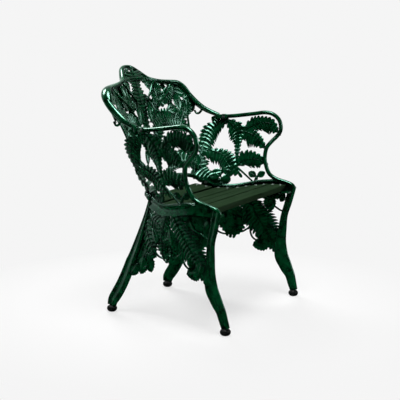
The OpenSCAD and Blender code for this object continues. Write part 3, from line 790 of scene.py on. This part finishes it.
def fixing_metal():
    """Worn painted steel of the bolts and nuts."""
    made, nodes, links, shader = material("fixing_steel")
    wear = noise(nodes, links, 260, 3)
    links.new(ramp(nodes, links, wear, (0.4, (0.02, 0.03, 0.025)), (0.6, (0.07, 0.09, 0.08))),
              shader.inputs["Base Color"])
    bump(nodes, links, shader, wear, 0.0003, 0.4)
    set_inputs(shader, {"Metallic": 0.6, "Roughness": 0.45, "Specular IOR Level": 0.2})
    return made


def foot_black():
    """Satin black paint of the feet, slightly mottled."""
    made, nodes, links, shader = material("foot_black_paint")
    tone = noise(nodes, links, 60, 3)
    links.new(ramp(nodes, links, tone, (0.3, (0.003, 0.004, 0.004)), (0.7, (0.008, 0.010, 0.009))),
              shader.inputs["Base Color"])
    bump(nodes, links, shader, noise(nodes, links, 500, 2), 0.0003, 0.3)
    set_inputs(shader, {"Roughness": 0.45, "Specular IOR Level": 0.06})
    return made


def paint_nodes(start, made):
    """Gives the CAD nodes whose names start so a material on every slot."""
    for name, node in frame["nodes"].items():
        if name.startswith(start):
            for place in node.material_slots:
                place.material = made


# Floor, light and camera

# White of the backdrop and the floor, its tint where the paint mirrors it, and light of the room
PAPER, PAPER_TINT, AMBIENT = 0.913, (0.8, 1, 0.9, 1), 0.1
# The paint mirrors white only towards this direction, behind the chair and to the sitter's left. The
# white starts and is full at two cosines on the backdrop, and at two distances in metres on the floor
BEHIND_X, BEHIND_Y, BEHIND_Z = 0.66, 0.73, 0.2
BACKDROP_SPAN, FLOOR_SPAN = (0.25, 0.95), (0.2, 2.0)
# Half of the floor's side, the distances between which the shadows fade from the picture, and the
# share of them that it leaves out near the chair
FLOOR_HALF, FADE_START, FADE_END, FADE_LEAST = 6.0, 0.3, 1.0, 0.7


def blend(nodes, links, share, first, second):
    """Mix of two shaders, with a share of the second."""
    mix = nodes.new("ShaderNodeMixShader")
    links.new(share, mix.inputs["Fac"])
    links.new(first.outputs[0], mix.inputs[1])
    links.new(second.outputs[0], mix.inputs[2])
    return mix


def mirrored_paper(nodes, links, kind, place, direction, span):
    """What the paint mirrors: white that grows over a span of values in one direction."""
    toward = nodes.new("ShaderNodeVectorMath")
    toward.operation = "DOT_PRODUCT"
    links.new(place, toward.inputs[0])
    toward.inputs[1].default_value = direction
    strength = nodes.new("ShaderNodeMapRange")
    set_inputs(strength, {"From Min": span[0], "From Max": span[1], "To Min": 0, "To Max": PAPER})
    links.new(toward.outputs["Value"], strength.inputs["Value"])
    made = nodes.new(kind)
    made.inputs["Color"].default_value = PAPER_TINT
    links.new(strength.outputs["Result"], made.inputs["Strength"])
    return made


def world():
    """White backdrop, mirrored by the paint only behind the chair, and a dim room that lights it."""
    made = bpy.data.worlds.new("studio")
    bpy.context.scene.world = made
    made.use_nodes = True
    nodes, links = made.node_tree.nodes, made.node_tree.links
    shader = nodes["Background"]
    set_inputs(shader, {"Color": (1, 1, 1, 1), "Strength": AMBIENT})
    direction = nodes.new("ShaderNodeTexCoord").outputs["Generated"]
    mirrored = mirrored_paper(nodes, links, "ShaderNodeBackground", direction,
                              (BEHIND_X, BEHIND_Y, BEHIND_Z), BACKDROP_SPAN)
    paper = nodes.new("ShaderNodeBackground")
    paper.inputs["Color"].default_value = (PAPER, PAPER, PAPER, 1)
    rays = nodes.new("ShaderNodeLightPath").outputs
    for ray, shown in (("Is Glossy Ray", mirrored), ("Is Transmission Ray", paper),
                       ("Is Camera Ray", paper)):
        shader = blend(nodes, links, rays[ray], shader, shown)
    links.new(shader.outputs[0], nodes["World Output"].inputs["Surface"])


def floor():
    """Pale floor whose far parts fade into the backdrop, mirrored by the paint as the backdrop is."""
    mesh = bpy.data.meshes.new("floor")
    corners = [(-1, -1), (1, -1), (1, 1), (-1, 1)]
    mesh.from_pydata([(FLOOR_HALF * x, FLOOR_HALF * y, 0) for x, y in corners], [], [(0, 1, 2, 3)])
    made = bpy.data.objects.new("floor", mesh)
    bpy.context.collection.objects.link(made)
    paper, nodes, links, shader = material("pale_floor")
    set_inputs(shader, {"Base Color": (0.88, 0.88, 0.88, 1), "Roughness": 0.9, "Specular IOR Level": 0.1})
    place = nodes.new("ShaderNodeTexCoord").outputs["Object"]
    rays = nodes.new("ShaderNodeLightPath").outputs
    distance = nodes.new("ShaderNodeVectorMath")
    distance.operation = "LENGTH"
    links.new(place, distance.inputs[0])
    fade = nodes.new("ShaderNodeMapRange")
    set_inputs(fade, {"From Min": FADE_START, "From Max": FADE_END, "To Min": FADE_LEAST})
    links.new(distance.outputs["Value"], fade.inputs["Value"])
    # The picture sees a part of the shadow near the chair, and none further out
    seen = nodes.new("ShaderNodeMath")
    seen.operation = "MULTIPLY"
    links.new(fade.outputs["Result"], seen.inputs[0])
    links.new(rays["Is Camera Ray"], seen.inputs[1])
    glow = nodes.new("ShaderNodeEmission")
    glow.inputs["Color"].default_value = (PAPER, PAPER, PAPER, 1)
    shown = blend(nodes, links, seen.outputs[0], shader, glow)
    mirrored = mirrored_paper(nodes, links, "ShaderNodeEmission", place,
                              (BEHIND_X, BEHIND_Y, 0), FLOOR_SPAN)
    last = blend(nodes, links, rays["Is Glossy Ray"], shown, mirrored)
    links.new(last.outputs[0], nodes["Material Output"].inputs["Surface"])
    mesh.materials.append(paper)


def lamp(name, place, target, size, watts, lights=True, mirrored=True):
    """Soft box at a place in metres, which lights the chair, shows in its gloss, or both."""
    data = bpy.data.lights.new(name, "AREA")
    data.shape = "RECTANGLE"
    data.size, data.size_y = size
    data.energy = watts
    made = bpy.data.objects.new(name, data)
    made.location = place
    made.rotation_euler = (Vector(target) - Vector(place)).to_track_quat("-Z", "Y").to_euler()
    made.visible_diffuse = lights
    made.visible_glossy = mirrored
    bpy.context.collection.objects.link(made)


# Camera of the photograph: place in metres, heading and dip in degrees, focal length and side of the
# picture in pixels, and side of the sensor in millimetres
CAMERA_PLACE, CAMERA_HEADING, CAMERA_DIP = (-3.2605, -1.6952, 0.9767), 62.885, 9.173
FOCAL_LENGTH, PICTURE_SIDE, SENSOR_SIDE = 1050, 400, 36


def camera():
    data = bpy.data.cameras.new("camera")
    data.sensor_width = SENSOR_SIDE
    data.lens = SENSOR_SIDE * FOCAL_LENGTH / PICTURE_SIDE
    made = bpy.data.objects.new("camera", data)
    yaw, pitch = math.radians(CAMERA_HEADING), math.radians(CAMERA_DIP)
    ahead = Vector((math.sin(yaw) * math.cos(pitch), math.cos(yaw) * math.cos(pitch), -math.sin(pitch)))
    right = Vector((math.cos(yaw), -math.sin(yaw), 0))
    turn = Matrix((right, right.cross(ahead), -ahead)).transposed()
    made.matrix_world = Matrix.Translation(CAMERA_PLACE) @ turn.to_4x4()
    bpy.context.collection.objects.link(made)
    bpy.context.scene.camera = made


green = green_paint()
build_end(green)
build_back(green)
paint_nodes("seat_slat", slat_paint())
metal = fixing_metal()
for group in ("slat_bolts", "slat_nuts", "back_bolts", "back_nuts"):
    paint_nodes(group, metal)
paint_nodes("foot", foot_black())

world()
floor()
lamp("top", (-0.6, -0.4, 3.0), (0, 0, 0.4), (1.1, 1.1), 85)
lamp("side", (1.6, 1.5, 2.0), (0, 0, 0.5), (1.4, 0.7), 70, mirrored=False)
# Soft boxes that only the gloss of the paint shows
lamp("gloss_top", (-0.5, -0.2, 3.0), (0, 0, 0.4), (1.2, 1.2), 85, lights=False)
lamp("gloss_rear", (-0.1, 2.0, 2.8), (0, 0, 0.4), (1.2, 0.8), 90, lights=False)
lamp("gloss_front", (1.9, -3.0, 1.4), (0, 0, 0.4), (0.7, 1.8), 60, lights=False)
camera()
bpy.context.scene.view_settings.view_transform = "Standard"
